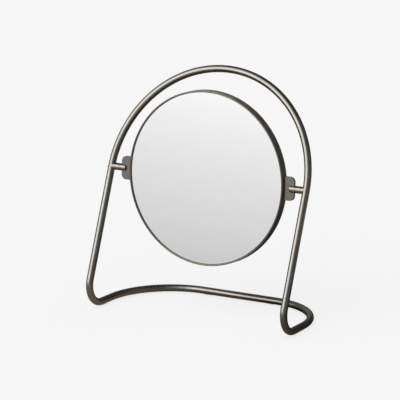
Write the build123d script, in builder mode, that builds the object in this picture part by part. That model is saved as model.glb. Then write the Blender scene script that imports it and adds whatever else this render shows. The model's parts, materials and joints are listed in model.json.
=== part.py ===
"""Round table mirror that tilts between the legs of a bent tube frame. Millimetres, +Z up.

The frame is one loop of round tube. Its arch and legs lean back, turn round at the feet, and run
on as a flat base behind. The mirror turns about a level axis, on a slotted pin at each leg.
The origin is on the table, in the middle of the frame seen from above, and the glass faces -Y.
"""
from build123d import *
from math import cos, radians, sin, tan
import os

os.makedirs("parts", exist_ok=True)

# Mirror head, its layers from the back to the front
rim_radius = 120.0
rim_depth = 13.0
rim_wall = 2.0
rim_edge_round = 0.3
rim_flange_width = 7.0
rim_flange_thickness = 1.2
back_plate_thickness = 1.0
board_thickness = 6.3
pad_thickness = 0.7
pad_margin = 5.0
glass_thickness = 2.0
glass_bevel = 0.4
edge_clearance = 0.3
mirror_tilt = 4.0

# Ear plates that carry the head
ear_thickness = 4.0
ear_height = 32.4
ear_reach = 15.5
ear_tail = 22.0
ear_outer_round = 7.0
ear_inner_round = 3.0
ear_edge_chamfer = 0.3
ear_fit_clearance = 0.15

# Pivots, from the ear outwards to the leg
pivot_diameter = 9.95
slot_depth = 7.4
fork_web = 2.4
fork_end_round = 1.2
washer_thickness = 0.5
washer_clearance = 0.05
stub_length = 9.3
axle_diameter = 5.0
axle_length = 7.4
axle_clearance = 0.05
washer_bore_clearance = 0.15
bore_end_gap = 0.4
groove_width = 2.4
groove_depth = 0.6

# Set screw that runs in the groove of each axle
set_screw_diameter = 3.0
set_screw_length = 1.9
set_screw_socket = 1.5
set_screw_socket_depth = 0.9
set_screw_tip_diameter = 1.8
set_screw_tip_gap = 0.1

# Frame tube
tube_diameter = 10.0
tube_wall = 1.2
lean_back = 22.0
pivot_up_leg = 200.0
pivot_above_arch_centre = 1.3
foot_bend_radius = 27.5
side_straight = 27.5
rear_corner_radius = 92.8
base_toe_in = 1.4
sleeve_wall = 1.0
sleeve_end_gap = 1.75

# Foot pads
pad_lift = 0.4
foot_pad_length = 12.0
foot_pad_width = 4.0
foot_pad_round = 1.8
foot_pad_inset = 3.0

# Screws in the back of the head
screw_diameter = 3.0
screw_head_diameter = 5.6
screw_head_height = 1.0
screw_head_round = 0.4
screw_socket = 2.0
screw_socket_depth = 0.6
screw_hole_clearance = 0.1
ear_screw_spacing = 18.0
ear_screw_inset = 10.0
ear_screw_end_gap = 0.3
board_screw_flange_gap = 11.0
board_screw_length = 5.0
board_screw_tip = 1.5
board_screw_point = 0.4
board_screw_angles = (45, 135, 225, 315)

# Sizes that follow
tube_radius = tube_diameter / 2
pivot_radius = pivot_diameter / 2
axle_radius = axle_diameter / 2
ear_outer = rim_radius + ear_reach
ear_inner = rim_radius - rim_wall - ear_tail
fork_inner = ear_outer - slot_depth
fork_outer = ear_outer + fork_web
washer_inner = fork_outer + washer_clearance
stub_inner = washer_inner + washer_thickness
leg_offset = stub_inner + stub_length + tube_radius
arch_radius = leg_offset
arch_centre_up_leg = pivot_up_leg - pivot_above_arch_centre

# Heights of the layers over the middle plane of the ears, along the mirror's own axis
board_front = ear_thickness / 2
board_back = board_front - board_thickness
plate_back = board_back - back_plate_thickness
rim_back = plate_back - rim_flange_thickness
glass_back = board_front + pad_thickness
disc_radius = rim_radius - rim_wall - edge_clearance
flange_inner = rim_radius - rim_wall - rim_flange_width
board_screw_ring = flange_inner - board_screw_flange_gap - screw_head_diameter / 2

# The loop of tube: its foot corners are where leg and side would meet without the bend
lean = radians(lean_back)
toe = radians(base_toe_in)
foot_tangent = foot_bend_radius * tan(radians(90 + lean_back) / 2)
rear_tangent = rear_corner_radius * tan(radians(90 - base_toe_in) / 2)
side_length = foot_tangent + side_straight + rear_tangent
frame_front = foot_tangent - foot_bend_radius - tube_radius
frame_back = side_length * cos(toe) + tube_radius
foot_corner_y = -(frame_front + frame_back) / 2
tube_height = pad_lift + tube_radius
leg_up = Vector(0, sin(lean), cos(lean))
leg_back = Vector(0, cos(lean), -sin(lean))


def side_run(side):
    """Direction of one side of the base, from its foot backwards."""
    return Vector(-side * sin(toe), cos(toe), 0)


def foot_corner(side):
    return Vector(side * leg_offset, foot_corner_y, tube_height)


def along_side(side, distance):
    """Point of the tube's centreline, at a distance behind the foot corner."""
    return foot_corner(side) + side_run(side) * distance


def up_leg(side, distance):
    """Point of the leg's centreline, at a distance up from the foot corner."""
    return foot_corner(side) + leg_up * distance


seam_distance = foot_tangent + side_straight / 2
arch_top = Vector(0, foot_corner_y, tube_height) + leg_up * (arch_centre_up_leg + arch_radius)
pivot = Vector(0, foot_corner_y, tube_height) + leg_up * pivot_up_leg
tilt = radians(mirror_tilt)
mirror_front = Vector(0, -cos(tilt), sin(tilt))
mirror_plane = Plane(origin=pivot, x_dir=(1, 0, 0), z_dir=mirror_front)


def hinge_plane(side, distance):
    """Plane across the pivot axis, facing outwards, with its x towards the mirror's front."""
    return Plane(origin=pivot + Vector(side * distance, 0, 0), x_dir=mirror_front, z_dir=(side, 0, 0))


def side_plane(side, distance):
    """Plane across one side of the base, facing back."""
    return Plane(origin=along_side(side, distance), x_dir=(0, 0, 1), z_dir=side_run(side))


# Centreline of the arch, the legs and the feet, from the left seam to the right seam
with BuildLine() as upper_path:
    FilletPolyline(
        along_side(-1, seam_distance),
        foot_corner(-1),
        up_leg(-1, arch_centre_up_leg),
        radius=foot_bend_radius,
    )
    ThreePointArc(up_leg(-1, arch_centre_up_leg), arch_top, up_leg(1, arch_centre_up_leg))
    FilletPolyline(
        up_leg(1, arch_centre_up_leg),
        foot_corner(1),
        along_side(1, seam_distance),
        radius=foot_bend_radius,
    )

# Centreline of the base, from the right seam round the back to the left seam
with BuildLine() as base_path:
    FilletPolyline(
        along_side(1, seam_distance),
        along_side(1, side_length),
        along_side(-1, side_length),
        along_side(-1, seam_distance),
        radius=rear_corner_radius,
    )

# Upper frame tube
with BuildPart() as upper_frame_tube:
    with BuildSketch(Plane(origin=along_side(-1, seam_distance), z_dir=-side_run(-1))):
        Circle(tube_radius)
        Circle(tube_radius - tube_wall, mode=Mode.SUBTRACT)
    sweep(path=upper_path.wire())
upper_frame_tube.part.label = "upper_frame_tube"
export_step(upper_frame_tube.part, "parts/upper_frame_tube.step")

# Base tube
with BuildPart() as base_tube:
    with BuildSketch(Plane(origin=along_side(1, seam_distance), z_dir=side_run(1))):
        Circle(tube_radius)
        Circle(tube_radius - tube_wall, mode=Mode.SUBTRACT)
    sweep(path=base_path.wire())
base_tube.part.label = "base_tube"
export_step(base_tube.part, "parts/base_tube.step")

# Room that the whole loop takes, for the pieces that fit round the tube
with BuildPart() as upper_room:
    with BuildSketch(Plane(origin=along_side(-1, seam_distance), z_dir=-side_run(-1))):
        Circle(tube_radius)
    sweep(path=upper_path.wire())
with BuildPart() as base_room:
    with BuildSketch(Plane(origin=along_side(1, seam_distance), z_dir=side_run(1))):
        Circle(tube_radius)
    sweep(path=base_path.wire())

# Sleeves inside the tube, one across each seam of the loop
sleeve_length = side_straight - 2 * sleeve_end_gap
for side, hand in ((-1, "left"), (1, "right")):
    with BuildPart() as joint_sleeve:
        with BuildSketch(side_plane(side, seam_distance - sleeve_length / 2)):
            Circle(tube_radius - tube_wall)
            Circle(tube_radius - tube_wall - sleeve_wall, mode=Mode.SUBTRACT)
        extrude(amount=sleeve_length)
    joint_sleeve.part.label = f"joint_sleeve_{hand}"
    export_step(joint_sleeve.part, f"parts/joint_sleeve_{hand}.step")

# Foot pads: flat below, hollowed above to the tube
pad_height = tube_height - (tube_radius**2 - (foot_pad_width / 2) ** 2) ** 0.5
rear_bar_half = along_side(1, side_length).X - rear_tangent
front_pad_distance = foot_tangent + foot_pad_length / 2
rear_pad_x = rear_bar_half - foot_pad_inset - foot_pad_length / 2
rear_pad_y = along_side(1, side_length).Y
for side, hand in ((-1, "left"), (1, "right")):
    front_pad = along_side(side, front_pad_distance)
    pad_spots = {
        "front": Plane(origin=(front_pad.X, front_pad.Y, 0), x_dir=side_run(side)),
        "rear": Plane(origin=(side * rear_pad_x, rear_pad_y, 0)),
    }
    for end, spot in pad_spots.items():
        with BuildPart() as foot_pad:
            with BuildSketch(spot):
                RectangleRounded(foot_pad_length, foot_pad_width, foot_pad_round)
            extrude(amount=pad_height)
            add(upper_room.part, mode=Mode.SUBTRACT)
            add(base_room.part, mode=Mode.SUBTRACT)
        foot_pad.part.label = f"foot_pad_{end}_{hand}"
        export_step(foot_pad.part, f"parts/foot_pad_{end}_{hand}.step")

# Pivot stubs, shaped to the legs and bored for the axles
bore_depth = axle_length - washer_thickness - washer_clearance + bore_end_gap
groove_start = fork_outer + (axle_length + washer_thickness + washer_clearance - groove_width) / 2
set_screw_x = groove_start + groove_width / 2
set_screw_foot = axle_radius + axle_clearance + set_screw_tip_gap


def set_screw_plane(side):
    """Plane through the pivot axis where the set screw crosses it, facing back across the leg."""
    return Plane(origin=pivot + Vector(side * set_screw_x, 0, 0), x_dir=(1, 0, 0), z_dir=leg_back)


for side, hand in ((-1, "left"), (1, "right")):
    with BuildPart() as pivot_stub:
        with BuildSketch(hinge_plane(side, stub_inner)):
            Circle(pivot_radius)
        extrude(amount=stub_length + tube_radius)
        add(upper_room.part, mode=Mode.SUBTRACT)
        with BuildSketch(hinge_plane(side, stub_inner)):
            Circle(axle_radius + axle_clearance)
        extrude(amount=bore_depth, mode=Mode.SUBTRACT)
        with BuildSketch(set_screw_plane(side)):
            Circle(set_screw_diameter / 2)
        extrude(amount=tube_diameter, mode=Mode.SUBTRACT)
    pivot_stub.part.label = f"pivot_stub_{hand}"
    export_step(pivot_stub.part, f"parts/pivot_stub_{hand}.step")

# Friction washers between the stubs and the forks
for side, hand in ((-1, "left"), (1, "right")):
    with BuildPart() as friction_washer:
        with BuildSketch(hinge_plane(side, washer_inner)):
            Circle(pivot_radius)
            Circle(axle_radius + washer_bore_clearance, mode=Mode.SUBTRACT)
        extrude(amount=washer_thickness)
    friction_washer.part.label = f"friction_washer_{hand}"
    export_step(friction_washer.part, f"parts/friction_washer_{hand}.step")

# Set screws, in from behind each stub, with a tip in the groove of the axle
tip_start = axle_radius - groove_depth + set_screw_tip_gap
with BuildPart() as set_screws:
    for side in (-1, 1):
        with BuildSketch(set_screw_plane(side).offset(set_screw_foot)):
            Circle(set_screw_diameter / 2)
        extrude(amount=set_screw_length)
        with BuildSketch(set_screw_plane(side).offset(tip_start)):
            Circle(set_screw_tip_diameter / 2)
        extrude(amount=set_screw_foot - tip_start)
        with BuildSketch(set_screw_plane(side).offset(set_screw_foot + set_screw_length)):
            RegularPolygon(set_screw_socket / 2, 6, major_radius=False)
        extrude(amount=-set_screw_socket_depth, mode=Mode.SUBTRACT)
set_screws.part.label = "set_screws"
export_step(set_screws.part, "parts/set_screws.step")

# Hinge forks: a slot for the ear plate at one end and a grooved axle at the other
for side, hand in ((-1, "left"), (1, "right")):
    with BuildPart() as hinge_fork:
        with BuildSketch(hinge_plane(side, fork_inner)):
            Circle(pivot_radius)
        extrude(amount=slot_depth + fork_web)
        inner_end = hinge_fork.faces().sort_by(Axis.X)[0 if side > 0 else -1]
        fillet(inner_end.edges(), fork_end_round)
        with BuildSketch(hinge_plane(side, fork_outer)):
            Circle(axle_radius)
        extrude(amount=axle_length)
        with BuildSketch(hinge_plane(side, groove_start)):
            Circle(axle_radius)
            Circle(axle_radius - groove_depth, mode=Mode.SUBTRACT)
        extrude(amount=groove_width, mode=Mode.SUBTRACT)
        with BuildSketch(hinge_plane(side, fork_inner)):
            Rectangle(ear_thickness, pivot_diameter)
        extrude(amount=slot_depth, mode=Mode.SUBTRACT)
    hinge_fork.part.label = f"hinge_fork_{hand}"
    export_step(hinge_fork.part, f"parts/hinge_fork_{hand}.step")

# Places of the screws that hold each ear, in the mirror's plane
ear_screw_x = ear_inner + ear_screw_inset
ear_screw_spots = [
    (side * ear_screw_x, end * ear_screw_spacing / 2) for side in (-1, 1) for end in (-1, 1)
]

# Ear plates, rounded outside the rim and screwed to the board inside it
ear_length = ear_outer - ear_inner
for side, hand in ((-1, "left"), (1, "right")):
    with BuildPart() as ear_plate:
        with BuildSketch(mirror_plane.offset(-ear_thickness / 2)) as ear_outline:
            with Locations((side * (ear_inner + ear_length / 2), 0)):
                Rectangle(ear_length, ear_height)
            corners = ear_outline.vertices().group_by(Axis.X)
            fillet(corners[-1 if side > 0 else 0], ear_outer_round)
            fillet(ear_outline.vertices().group_by(Axis.X)[0 if side > 0 else -1], ear_inner_round)
        extrude(amount=ear_thickness)
        flat_faces = ear_plate.faces().filter_by(mirror_plane)
        chamfer(flat_faces.edges(), ear_edge_chamfer)
        with BuildSketch(mirror_plane.offset(-ear_thickness / 2)):
            with Locations(*[spot for spot in ear_screw_spots if spot[0] * side > 0]):
                Circle(screw_diameter / 2)
        extrude(amount=ear_thickness, mode=Mode.SUBTRACT)
    ear_plate.part.label = f"ear_plate_{hand}"
    export_step(ear_plate.part, f"parts/ear_plate_{hand}.step")

# Mirror rim: a deep ring with a flange behind and a slot for each ear
ear_slot_height = ear_height + 2 * ear_fit_clearance
ear_slot_width = ear_thickness + 2 * ear_fit_clearance
with BuildPart() as mirror_rim:
    with BuildSketch(mirror_plane.offset(rim_back)):
        Circle(rim_radius)
        Circle(rim_radius - rim_wall, mode=Mode.SUBTRACT)
    extrude(amount=rim_depth)
    front_edges = mirror_rim.faces().filter_by(mirror_plane).sort_by(Axis.Y)[0].edges()
    fillet(front_edges, rim_edge_round)
    with BuildSketch(mirror_plane.offset(rim_back)):
        Circle(rim_radius - rim_wall)
        Circle(flange_inner, mode=Mode.SUBTRACT)
    extrude(amount=rim_flange_thickness)
    outer_circles = mirror_rim.edges().filter_by(GeomType.CIRCLE).group_by(SortBy.RADIUS)[-1]
    fillet(outer_circles.sort_by(Axis.Y)[-1], rim_edge_round)
    with BuildSketch(mirror_plane.offset(-ear_slot_width / 2)):
        Rectangle(2 * (rim_radius + ear_reach), ear_slot_height)
        Rectangle(2 * ear_inner, ear_slot_height, mode=Mode.SUBTRACT)
    extrude(amount=ear_slot_width, mode=Mode.SUBTRACT)
mirror_rim.part.label = "mirror_rim"
export_step(mirror_rim.part, "parts/mirror_rim.step")

# Back plate, seated on the flange of the rim
board_screw_spots = [
    (board_screw_ring * cos(radians(angle)), board_screw_ring * sin(radians(angle)))
    for angle in board_screw_angles
]
hole_radius = screw_diameter / 2 + screw_hole_clearance
with BuildPart() as back_plate:
    with BuildSketch(mirror_plane.offset(plate_back)):
        Circle(disc_radius)
        with Locations(*ear_screw_spots, *board_screw_spots):
            Circle(hole_radius, mode=Mode.SUBTRACT)
    extrude(amount=back_plate_thickness)
back_plate.part.label = "back_plate"
export_step(back_plate.part, "parts/back_plate.step")

# Backing board, let in from the front for the tails of the ears
with BuildPart() as backing_board:
    with BuildSketch(mirror_plane.offset(board_back)):
        Circle(disc_radius)
        with Locations(*ear_screw_spots):
            Circle(hole_radius, mode=Mode.SUBTRACT)
    extrude(amount=board_thickness)
    with BuildSketch(mirror_plane.offset(board_front)):
        for side in (-1, 1):
            pocket_inner = ear_inner - ear_fit_clearance
            pocket_length = rim_radius - pocket_inner
            with Locations((side * (pocket_inner + pocket_length / 2), 0)):
                Rectangle(pocket_length, ear_slot_height)
    extrude(amount=-ear_thickness, mode=Mode.SUBTRACT)
    with BuildSketch(mirror_plane.offset(board_back)):
        with Locations(*board_screw_spots):
            Circle(screw_diameter / 2)
    extrude(amount=board_screw_length - back_plate_thickness, mode=Mode.SUBTRACT)
backing_board.part.label = "backing_board"
export_step(backing_board.part, "parts/backing_board.step")

# Foam pad that the glass is bonded to
with BuildPart() as glass_pad:
    with BuildSketch(mirror_plane.offset(board_front)):
        Circle(disc_radius - pad_margin)
    extrude(amount=pad_thickness)
glass_pad.part.label = "glass_pad"
export_step(glass_pad.part, "parts/glass_pad.step")

# Mirror glass
with BuildPart() as mirror_glass:
    with BuildSketch(mirror_plane.offset(glass_back)):
        Circle(disc_radius)
    extrude(amount=glass_thickness)
    chamfer(mirror_glass.faces().sort_by(Axis.Y)[0].edges(), glass_bevel)
mirror_glass.part.label = "mirror_glass"
export_step(mirror_glass.part, "parts/mirror_glass.step")


def screw_head(spot):
    """Button head on the back plate, facing away from the mirror, with a hexagon socket."""
    x, y = spot
    with BuildPart() as head:
        with BuildSketch(mirror_plane.offset(plate_back)):
            with Locations((x, y)):
                Circle(screw_head_diameter / 2)
        extrude(amount=-screw_head_height)
        fillet(head.faces().sort_by(Axis.Y)[-1].edges(), screw_head_round)
        with BuildSketch(mirror_plane.offset(plate_back - screw_head_height)):
            with Locations((x, y)):
                RegularPolygon(screw_socket / 2, 6, major_radius=False)
        extrude(amount=screw_socket_depth, mode=Mode.SUBTRACT)
    return head.part


# Screws through the back plate and the board into the ears
ear_screw_heads = [screw_head(spot) for spot in ear_screw_spots]
with BuildPart() as ear_screws:
    add(ear_screw_heads)
    with BuildSketch(mirror_plane.offset(plate_back)):
        with Locations(*ear_screw_spots):
            Circle(screw_diameter / 2)
    extrude(amount=back_plate_thickness + board_thickness - ear_screw_end_gap)
ear_screws.part.label = "ear_screws"
export_step(ear_screws.part, "parts/ear_screws.step")

# Screws that hold the back plate to the board
board_screw_heads = [screw_head(spot) for spot in board_screw_spots]
with BuildPart() as board_screws:
    add(board_screw_heads)
    with BuildSketch(mirror_plane.offset(plate_back)):
        with Locations(*board_screw_spots):
            Circle(screw_diameter / 2)
    extrude(amount=board_screw_length)
    shank_ends = board_screws.faces().group_by(Axis.Y)[0]
    chamfer(shank_ends.edges(), board_screw_tip, (screw_diameter - board_screw_point) / 2)
board_screws.part.label = "board_screws"
export_step(board_screws.part, "parts/board_screws.step")
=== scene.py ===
"""Looks of the round table mirror: its metals, glass, floor, light and camera. Metres, +Z up."""
import json
import math

import bpy
from mathutils import Matrix, Vector


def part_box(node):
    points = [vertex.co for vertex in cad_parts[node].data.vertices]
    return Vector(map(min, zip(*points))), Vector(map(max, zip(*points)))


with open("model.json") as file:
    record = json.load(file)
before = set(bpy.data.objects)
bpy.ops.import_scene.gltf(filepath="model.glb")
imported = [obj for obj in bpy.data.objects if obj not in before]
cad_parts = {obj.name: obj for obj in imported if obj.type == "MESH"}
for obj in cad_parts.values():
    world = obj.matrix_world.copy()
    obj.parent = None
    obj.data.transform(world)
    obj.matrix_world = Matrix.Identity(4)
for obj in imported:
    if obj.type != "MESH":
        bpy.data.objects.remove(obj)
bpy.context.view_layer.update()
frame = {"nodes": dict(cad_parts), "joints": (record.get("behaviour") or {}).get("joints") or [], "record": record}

# Camera, as worked out from the edges of the tube and the rim in the photograph
camera_azimuth = 30.765
camera_elevation = 13.817
camera_roll = -0.450
camera_distance = 4.2083
camera_target = Vector((0.03288, -0.08603, 0.18024))
camera_lens = 284.61
sensor_width = 36.0

# How the object stands, in degrees, a point on the line its mirror turns about, and the size of its glass
lean_back = 22.0
mirror_tilt = 4.0
pivot = Vector(frame["joints"][0]["pos_m"])
glass_radius = (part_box("mirror_glass")[1].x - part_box("mirror_glass")[0].x) / 2
glass_bevel = 0.0004

# Painted light that only reflections show, fitted to the photograph: one large soft glow in front on the left,
# two weak ones, and a dim room of painted shade
glow_azimuth = -29.0
glow_elevation = 26.0
glow_strength = 4.6
glow_falloff = 6.5
back_glow_azimuth = -130.0
back_glow_elevation = 10.0
back_glow_strength = 0.5
back_glow_falloff = 5.0
side_glow_azimuth = 70.0
side_glow_elevation = 20.0
side_glow_strength = 0.25
side_glow_falloff = 3.0
room_strength = 0.09
painted_dome_radius = 6.0
neutral = (1.0, 1.0, 1.0)

# Painted floor reflection that only reflections show, fitted to the photograph: painted shade under the object,
# warm near it, a painted pool of light towards the large glow, and a weaker one behind
shade_strength = 0.05
pool_strength = 0.62
pool_reach = 0.12
pool_start = 0.09
slope_azimuth = 23.5
slope_strength = 0.164
brightest_floor = 1.2
rear_pool_strength = 0.42
rear_pool_start = 0.1
rear_pool_end = 0.6
# Warm tint of the painted floor reflection near the object
warm_painted_floor = (1.0, 0.87, 0.76)
warm_reach = 0.4
painted_floor_height = 0.0001

# Floor and background as the camera sees them, and the light that falls on dull surfaces
pale = 0.913
floor_tone = 0.92
floor_radius = 8.0
floor_shadow_share = 0.16
fill_strength = 0.87
sun_strength = 0.9
sun_width = 50.0
sun_lift = 15.0

# Colours of the metals and the glass, fitted to the photograph under the light above
frame_colour = (0.21, 0.202, 0.186)
frame_edge_tint = (0.6, 0.56, 0.51)
pivot_colour = (0.2, 0.187, 0.168)
ear_colour = (0.141, 0.139, 0.134)
# Painted highlight colour that lightens the ear plates' chamfers
chamfer_highlight_colour = (0.3, 0.28, 0.25)
rim_colour = (0.172, 0.156, 0.136)
dusty_silver = (0.926, 0.93, 0.926)
clean_silver = (0.941, 0.943, 0.94)
bevel_colour = (0.74, 0.78, 0.76)

# What the patina multiplies a metal's colour by
patina_dark = (0.88, 0.83, 0.79)
patina_light = (1.13, 1.13, 1.13)
patina_cool = (0.9, 0.97, 1.04)
patina_warm = (1.07, 0.98, 0.9)

# Brush lines on the tube: how many across it, how much they drift, and the height over which
# the lines of the legs turn into those of the arch
tube_lines = 22.0
tube_line_drift = 9
arch_blend = 0.02

# Roughness that dust and the bevel give the glass
dust_haze = 0.012
bevel_haze = 0.12


def direction(azimuth, elevation):
    """Unit vector from the object towards azimuth and elevation in degrees, where azimuth 0 is -Y."""
    a = math.radians(azimuth)
    e = math.radians(elevation)
    return Vector((math.sin(a) * math.cos(e), -math.cos(a) * math.cos(e), math.sin(e)))


def times(colour, factors):
    """The colour with each channel multiplied by a factor of its own."""
    return tuple(c * f for c, f in zip(colour, factors))


mirror_normal = direction(0, mirror_tilt)
lean_normal = direction(0, -lean_back)


class Nodes:
    """The nodes of one material or world, with short ways to add more."""

    def __init__(self, tree):
        self.tree = tree

    def add(self, kind, **settings):
        node = self.tree.nodes.new(kind)
        for name, value in settings.items():
            setattr(node, name, value)
        return node

    def feed(self, socket, value):
        """Links an output to a socket, or sets the socket to a plain value."""
        if isinstance(value, bpy.types.NodeSocket):
            self.tree.links.new(value, socket)
        else:
            socket.default_value = value

    def math(self, operation, *values):
        node = self.add("ShaderNodeMath", operation=operation)
        for socket, value in zip(node.inputs, values):
            self.feed(socket, value)
        return node.outputs[0]

    def vector(self, operation, *values):
        node = self.add("ShaderNodeVectorMath", operation=operation)
        for socket, value in zip(node.inputs, values):
            self.feed(socket, value)
        return node.outputs["Value" if operation in ("DOT_PRODUCT", "LENGTH") else "Vector"]

    def combine(self, x, y, z):
        node = self.add("ShaderNodeCombineXYZ")
        for socket, value in zip(node.inputs, (x, y, z)):
            self.feed(socket, value)
        return node.outputs[0]

    def noise(self, vector, scale, detail=2.0, roughness=0.5):
        node = self.add("ShaderNodeTexNoise")
        self.feed(node.inputs["Vector"], vector)
        self.feed(node.inputs["Scale"], scale)
        self.feed(node.inputs["Detail"], detail)
        self.feed(node.inputs["Roughness"], roughness)
        return node.outputs[0]

    def remap(self, value, low, high, new_low, new_high):
        """Spreads value from low..high to new_low..new_high, smoothly and without going past them."""
        node = self.add("ShaderNodeMapRange", interpolation_type="SMOOTHSTEP")
        for socket, item in zip(node.inputs, (value, low, high, new_low, new_high)):
            self.feed(socket, item)
        return node.outputs[0]

    def rise(self, value, low, high):
        """0 below low, 1 above high and smooth between them."""
        return self.remap(value, low, high, 0.0, 1.0)

    def blend(self, share, colour_a, colour_b):
        node = self.add("ShaderNodeMix", data_type="RGBA")
        sockets = [s for s in node.inputs if s.enabled]
        for socket, item in zip(sockets, (share, colour_a, colour_b)):
            if isinstance(item, tuple):
                item = (*item, 1)
            self.feed(socket, item)
        return next(s for s in node.outputs if s.enabled)

    def bump(self, height, distance, strength=1.0):
        node = self.add("ShaderNodeBump")
        self.feed(node.inputs["Strength"], strength)
        self.feed(node.inputs["Distance"], distance)
        self.feed(node.inputs["Height"], height)
        return node.outputs[0]


class Surface(Nodes):
    """A material's nodes, with its shader and the part's own coordinates."""

    def __init__(self, name):
        self.material = bpy.data.materials.new(name)
        self.material.use_nodes = True
        super().__init__(self.material.node_tree)
        self.shader = self.tree.nodes["Principled BSDF"]
        place = self.add("ShaderNodeTexCoord")
        self.point = place.outputs["Object"]
        self.normal = place.outputs["Normal"]

    def set(self, **values):
        for name, value in values.items():
            socket = self.shader.inputs[name.replace("_", " ").title()]
            if isinstance(value, tuple):
                value = (*value, 1)
            self.feed(socket, value)

    def from_pivot(self):
        """Height along the mirror's axis, distance from that axis, and the vector out from it."""
        arm = self.vector("SUBTRACT", self.point, pivot)
        height = self.vector("DOT_PRODUCT", arm, mirror_normal)
        along = self.add("ShaderNodeVectorMath", operation="SCALE")
        self.feed(along.inputs[0], mirror_normal)
        self.feed(along.inputs["Scale"], height)
        out = self.vector("SUBTRACT", arm, along.outputs[0])
        return height, self.vector("LENGTH", out), out


def metal(surface, colour, roughness, lines, grain=1.0):
    """Bronzed metal: brush lines, cloudy patina and faint specks, over one base colour."""
    patina = surface.noise(surface.point, scale=26.0, detail=4.0, roughness=0.6)
    specks = surface.noise(surface.point, scale=1400.0, detail=1.0)
    dark = times(colour, patina_dark)
    clouds = surface.blend(surface.rise(patina, 0.35, 0.65), dark, times(colour, patina_light))
    hue = surface.noise(surface.point, scale=11.0, detail=1.0)
    cool = surface.remap(hue, 0.5, 0.62, 0.0, 0.6)
    warm = surface.remap(hue, 0.38, 0.5, 0.6, 0.0)
    tinted = surface.blend(cool, clouds, times(colour, patina_cool))
    tinted = surface.blend(warm, tinted, times(colour, patina_warm))
    brushed = surface.blend(surface.remap(lines, 0.3, 0.7, 0.0, 0.35 * grain), tinted, dark)
    surface.set(base_color=brushed, metallic=1.0)
    rough = surface.remap(lines, 0.3, 0.7, -0.05 * grain, 0.05 * grain)
    rough = surface.math("ADD", rough, roughness)
    rough = surface.math("ADD", rough, surface.remap(patina, 0.35, 0.65, -0.03, 0.04))
    surface.set(roughness=surface.math("ADD", rough, surface.remap(specks, 0.6, 0.8, 0.0, 0.08)))
    surface.set(normal=surface.bump(lines, 0.000012 * grain))


def frame_bronze():
    """Tube brushed along its length: the lines follow the tube round the arch."""
    surface = Surface("frame_bronze")
    across_legs = surface.vector("DOT_PRODUCT", surface.normal, (1, 0, 0))
    across_arch = surface.vector("DOT_PRODUCT", surface.normal, lean_normal)
    parts = surface.add("ShaderNodeSeparateXYZ")
    surface.feed(parts.inputs[0], surface.point)
    high = surface.rise(parts.outputs["Z"], pivot.z - arch_blend, pivot.z + arch_blend)
    mix = surface.add("ShaderNodeMix", data_type="FLOAT")
    for socket, value in zip([s for s in mix.inputs if s.enabled], (high, across_legs, across_arch)):
        surface.feed(socket, value)
    fine = surface.combine(surface.math("MULTIPLY", mix.outputs[0], tube_lines), 0.0, 0.0)
    drift = surface.vector("MULTIPLY", surface.point, (tube_line_drift,) * 3)
    lines = surface.noise(surface.vector("ADD", fine, drift), scale=1.0, detail=4.0, roughness=0.7)
    metal(surface, frame_colour, roughness=0.27, lines=lines)
    surface.set(specular_tint=frame_edge_tint)
    return surface.material


def pivot_bronze():
    """Pins turned on a lathe: fine rings along their axis."""
    surface = Surface("pivot_bronze")
    stretched = surface.vector("MULTIPLY", surface.point, (2600, 60, 60))
    lines = surface.noise(stretched, scale=1.0, detail=3.0, roughness=0.7)
    metal(surface, pivot_colour, roughness=0.22, lines=lines, grain=0.7)
    return surface.material


def ear_bronze():
    """Plates brushed up and down, with a painted highlight that makes their chamfers a little brighter."""
    surface = Surface("ear_bronze")
    stretched = surface.vector("MULTIPLY", surface.point, (1500, 1500, 40))
    lines = surface.noise(stretched, scale=1.0, detail=3.0, roughness=0.7)
    metal(surface, ear_colour, roughness=0.36, lines=lines)
    # Painted highlight: faces slanted between a plate's face and its sides are lightened
    facing = surface.math("ABSOLUTE", surface.vector("DOT_PRODUCT", surface.normal, mirror_normal))
    off_edge = surface.rise(facing, 0.2, 0.4)
    off_face = surface.remap(facing, 0.85, 0.95, 1.0, 0.0)
    slanted = surface.math("MULTIPLY", off_edge, off_face)
    plain = surface.shader.inputs["Base Color"].links[0].from_socket
    highlighted = surface.blend(surface.math("MULTIPLY", slanted, 0.7), plain, chamfer_highlight_colour)
    surface.set(base_color=highlighted)
    return surface.material


def rim_bronze():
    """Rim brushed round, with rings on its front edge and lines round its wall that spread the shine."""
    surface = Surface("rim_bronze")
    height, radius, out = surface.from_pivot()
    turn = surface.vector("NORMALIZE", out)
    rings = surface.combine(radius, height, 0.0)
    rings = surface.vector("MULTIPLY", rings, (2400, 2400, 0))
    drift = surface.vector("MULTIPLY", turn, (3, 3, 3))
    lines = surface.noise(surface.vector("ADD", rings, drift), scale=1.0, detail=3.0, roughness=0.7)
    metal(surface, rim_colour, roughness=0.46, lines=lines)
    across = surface.add("ShaderNodeVectorTransform", vector_type="VECTOR")
    across.convert_from = "OBJECT"
    across.convert_to = "WORLD"
    surface.feed(across.inputs[0], surface.vector("ADD", turn, mirror_normal))
    surface.feed(surface.shader.inputs["Tangent"], across.outputs[0])
    surface.set(anisotropic=0.95)
    return surface.material


def mirror_glass():
    """Silvered glass with a greenish bevel at its edge and the faintest film of dust."""
    surface = Surface("mirror_glass")
    radius = surface.from_pivot()[1]
    edge = surface.rise(radius, glass_radius - glass_bevel * 1.2, glass_radius - glass_bevel * 0.8)
    dust = surface.noise(surface.point, scale=60.0, detail=3.0)
    silver = surface.blend(surface.rise(dust, 0.3, 0.7), dusty_silver, clean_silver)
    surface.set(base_color=surface.blend(edge, silver, bevel_colour), metallic=1.0)
    film = surface.remap(dust, 0.4, 0.7, 0.0, dust_haze)
    surface.set(roughness=surface.math("ADD", film, surface.math("MULTIPLY", edge, bevel_haze)))
    return surface.material


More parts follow.
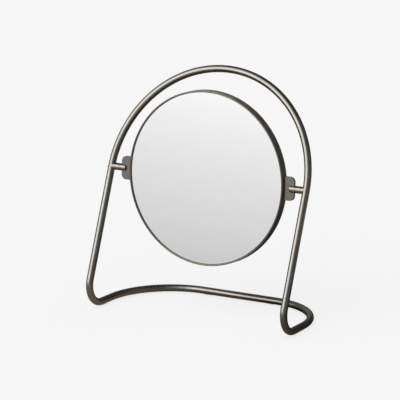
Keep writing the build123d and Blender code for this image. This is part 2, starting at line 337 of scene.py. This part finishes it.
def speckled(name, colour, spread, scale, roughness, depth, stretch=(1, 1, 1)):
    """A plain dull surface: its colour varies a little, and its grain is raised."""
    surface = Surface(name)
    place = surface.vector("MULTIPLY", surface.point, stretch)
    grain = surface.noise(place, scale, detail=3.0, roughness=0.65)
    clouds = surface.noise(surface.point, scale=18.0)
    dark = tuple(c * (1 - spread) for c in colour)
    light = tuple(min(c * (1 + spread), 1) for c in colour)
    grain_share = surface.math("MULTIPLY", grain, 0.7)
    cloud_share = surface.math("MULTIPLY", clouds, 0.3)
    mixed = surface.math("ADD", grain_share, cloud_share)
    surface.set(base_color=surface.blend(surface.rise(mixed, 0.35, 0.65), dark, light))
    surface.set(roughness=surface.remap(grain, 0.3, 0.7, roughness - 0.06, roughness + 0.06))
    surface.set(normal=surface.bump(grain, depth))
    return surface


def back_cover():
    """Fine dark powder coat."""
    return speckled("back_cover", (0.1, 0.095, 0.09), spread=0.16, scale=900.0,
                    roughness=0.5, depth=0.00004).material


def board():
    """Fibreboard, hidden behind the glass."""
    return speckled("board", (0.3, 0.21, 0.13), spread=0.25, scale=700.0,
                    roughness=0.85, depth=0.00008, stretch=(1, 1, 3)).material


def foam():
    """White foam tape with open cells."""
    return speckled("foam", (0.7, 0.7, 0.67), spread=0.12, scale=1500.0,
                    roughness=0.9, depth=0.0001).material


def washer():
    """Black nylon."""
    return speckled("washer", (0.022, 0.022, 0.022), spread=0.15, scale=1100.0,
                    roughness=0.42, depth=0.00001).material


def screw_steel():
    """Blackened steel, worn here and there to a lighter grey."""
    surface = speckled("screw_steel", (0.06, 0.057, 0.053), spread=0.35, scale=420.0,
                       roughness=0.38, depth=0.00001)
    surface.set(metallic=1.0)
    return surface.material


def sleeve_steel():
    """Plain drawn steel tube, lined along its length."""
    surface = speckled("sleeve_steel", (0.42, 0.42, 0.42), spread=0.12, scale=1.0,
                       roughness=0.32, depth=0.00001, stretch=(2400, 30, 2400))
    surface.set(metallic=1.0)
    return surface.material


def foot_pad():
    """Clear silicone, slightly milky."""
    surface = speckled("foot_pad", (0.86, 0.86, 0.84), spread=0.04, scale=500.0,
                       roughness=0.4, depth=0.00002)
    surface.set(transmission_weight=0.45)
    surface.feed(surface.shader.inputs["IOR"], 1.41)
    return surface.material


def dress():
    """Gives each CAD node the finish that its material slot names."""
    makers = (frame_bronze, pivot_bronze, ear_bronze, rim_bronze, mirror_glass, back_cover, board,
              foam, washer, screw_steel, sleeve_steel, foot_pad)
    finishes = {maker.__name__: maker() for maker in makers}
    for part in frame["record"]["subparts"]:
        for place in frame["nodes"][part["node"]].material_slots:
            place.material = finishes[part["material_slot"]]


def make_camera():
    """The photograph's camera: a long lens, low and to the right of the glass."""
    data = bpy.data.cameras.new("camera")
    data.lens = camera_lens
    data.sensor_width = sensor_width
    data.clip_start = 0.1
    data.clip_end = 100
    camera = bpy.data.objects.new("camera", data)
    bpy.context.scene.collection.objects.link(camera)
    back = direction(camera_azimuth, camera_elevation)
    turn = (-back).to_track_quat("-Z", "Y").to_matrix().to_4x4()
    roll = Matrix.Rotation(math.radians(camera_roll), 4, "Z")
    camera.matrix_world = Matrix.Translation(camera_target + back * camera_distance) @ turn @ roll
    bpy.context.scene.camera = camera


def shows_background(nodes):
    """1 for the camera, gloss and anything clear. Gloss still sees the painted reflection dome and painted floor
    reflection, which are nearer.
    """
    path = nodes.add("ShaderNodeLightPath")
    sharp = nodes.math("MAXIMUM", path.outputs["Is Camera Ray"], path.outputs["Is Glossy Ray"])
    return nodes.math("MAXIMUM", sharp, path.outputs["Is Transmission Ray"])


def make_world():
    """Pale where it is seen, and an even fill light for dull surfaces."""
    world = bpy.data.worlds.new("studio")
    bpy.context.scene.world = world
    world.use_nodes = True
    nodes = Nodes(world.node_tree)
    seen = world.node_tree.nodes["Background"]
    seen.inputs["Color"].default_value = (pale, pale, pale, 1)
    lit = nodes.add("ShaderNodeBackground")
    nodes.feed(lit.inputs["Color"], (*neutral, 1))
    nodes.feed(lit.inputs["Strength"], fill_strength)
    mix = nodes.add("ShaderNodeMixShader")
    for socket, value in zip(mix.inputs, (shows_background(nodes), lit.outputs[0], seen.outputs[0])):
        nodes.feed(socket, value)
    nodes.feed(world.node_tree.nodes["World Output"].inputs["Surface"], mix.outputs[0])


def make_floor():
    """Pale floor that keeps a share of the object's shadow."""
    bpy.ops.mesh.primitive_circle_add(vertices=96, radius=floor_radius, fill_type="NGON")
    floor = bpy.context.object
    floor.name = "floor"
    surface = Surface("floor")
    surface.set(base_color=(floor_tone,) * 3, roughness=1.0)
    surface.feed(surface.shader.inputs["Specular IOR Level"], 0.0)
    even = surface.add("ShaderNodeEmission")
    surface.feed(even.inputs["Color"], (pale, pale, pale, 1))
    mix = surface.add("ShaderNodeMixShader")
    share = surface.math("MULTIPLY", shows_background(surface), 1 - floor_shadow_share)
    for socket, value in zip(mix.inputs, (share, surface.shader.outputs[0], even.outputs[0])):
        surface.feed(socket, value)
    surface.feed(surface.tree.nodes["Material Output"].inputs["Surface"], mix.outputs[0])
    floor.data.materials.append(surface.material)


def only_reflected(thing, tone):
    """A card of painted light and shade that only reflections show: tone gives the strength and colour of its
    light.
    """
    surface = Surface(thing.name)
    glow = surface.add("ShaderNodeEmission")
    strength, colour = tone(surface)
    surface.feed(glow.inputs["Strength"], strength)
    surface.feed(glow.inputs["Color"], colour)
    surface.feed(surface.tree.nodes["Material Output"].inputs["Surface"], glow.outputs[0])
    thing.data.materials.append(surface.material)
    thing.visible_camera = False
    thing.visible_diffuse = False
    thing.visible_transmission = False
    thing.visible_shadow = False


def painted_dome_tone(surface):
    """Painted reflection light: dim painted shade all round, with three soft painted glows, the largest in front
    on the left.
    """
    towards = surface.vector("NORMALIZE", surface.vector("SUBTRACT", surface.point, (0, 0, pivot.z)))
    glows = (
        (direction(glow_azimuth, glow_elevation), glow_falloff, glow_strength),
        (direction(back_glow_azimuth, back_glow_elevation), back_glow_falloff, back_glow_strength),
        (direction(side_glow_azimuth, side_glow_elevation), side_glow_falloff, side_glow_strength),
    )
    tone = room_strength
    for centre, falloff, strength in glows:
        facing = surface.math("MAXIMUM", surface.vector("DOT_PRODUCT", towards, centre), 0.0)
        glow = surface.math("MULTIPLY", surface.math("POWER", facing, falloff), strength)
        tone = surface.math("ADD", glow, tone)
    return tone, (*neutral, 1)


def painted_floor_tone(surface):
    """Painted floor reflection: dim and warm under the object as painted shade, and lighter towards the large glow
    and behind it as painted pools of light.
    """
    to_glow = direction(glow_azimuth, 0)
    place = surface.vector("ADD", surface.point, to_glow * pool_start)
    ahead = surface.vector("DOT_PRODUCT", place, to_glow)
    reach = surface.math("ADD", surface.vector("LENGTH", place), pool_reach)
    pool = surface.math("MAXIMUM", surface.math("DIVIDE", ahead, reach), 0.0)
    pool = surface.math("MULTIPLY", pool, pool_strength)
    slope = surface.vector("DOT_PRODUCT", surface.point, direction(slope_azimuth, 0))
    slope = surface.math("MULTIPLY", slope, slope_strength)
    tone = surface.math("ADD", surface.math("ADD", pool, slope), shade_strength)
    tone = surface.math("MINIMUM", surface.math("MAXIMUM", tone, shade_strength), brightest_floor)
    back = surface.vector("DOT_PRODUCT", surface.point, (0, 1, 0))
    rear_pool = surface.remap(back, rear_pool_start, rear_pool_end, 0.0, rear_pool_strength)
    tone = surface.math("ADD", tone, rear_pool)
    far = surface.rise(surface.vector("LENGTH", surface.point), warm_reach / 2, warm_reach)
    return tone, surface.blend(far, warm_painted_floor, neutral)


def make_painted_reflections():
    """A dome and a floor sheet of painted light and shade that hide the pale background and floor from every
    reflection.

    Only reflections show them. They are fitted to the photograph's view, and other views get them too.
    """
    # A sphere of painted light and shade, seen only in reflections
    bpy.ops.mesh.primitive_uv_sphere_add(segments=96, ring_count=48, radius=painted_dome_radius)
    painted_reflection_dome = bpy.context.object
    painted_reflection_dome.name = "painted_reflection_dome"
    only_reflected(painted_reflection_dome, painted_dome_tone)
    # A floor sheet of painted shade and painted pools of light, seen only in reflections
    place = (0, 0, painted_floor_height)
    bpy.ops.mesh.primitive_circle_add(vertices=96, radius=painted_dome_radius, fill_type="NGON", location=place)
    painted_floor_reflection = bpy.context.object
    painted_floor_reflection.name = "painted_floor_reflection"
    only_reflected(painted_floor_reflection, painted_floor_tone)


def make_sun():
    """Broad soft light on dull surfaces, from a little above the large glow."""
    data = bpy.data.lights.new("key", "SUN")
    data.energy = sun_strength
    data.angle = math.radians(sun_width)
    lamp = bpy.data.objects.new("key", data)
    bpy.context.scene.collection.objects.link(lamp)
    aim = direction(glow_azimuth, glow_elevation + sun_lift)
    lamp.matrix_world = aim.to_track_quat("Z", "Y").to_matrix().to_4x4()
    lamp.visible_glossy = False


make_camera()
dress()
make_world()
make_floor()
make_painted_reflections()
make_sun()
bpy.context.scene.view_settings.view_transform = "Standard"
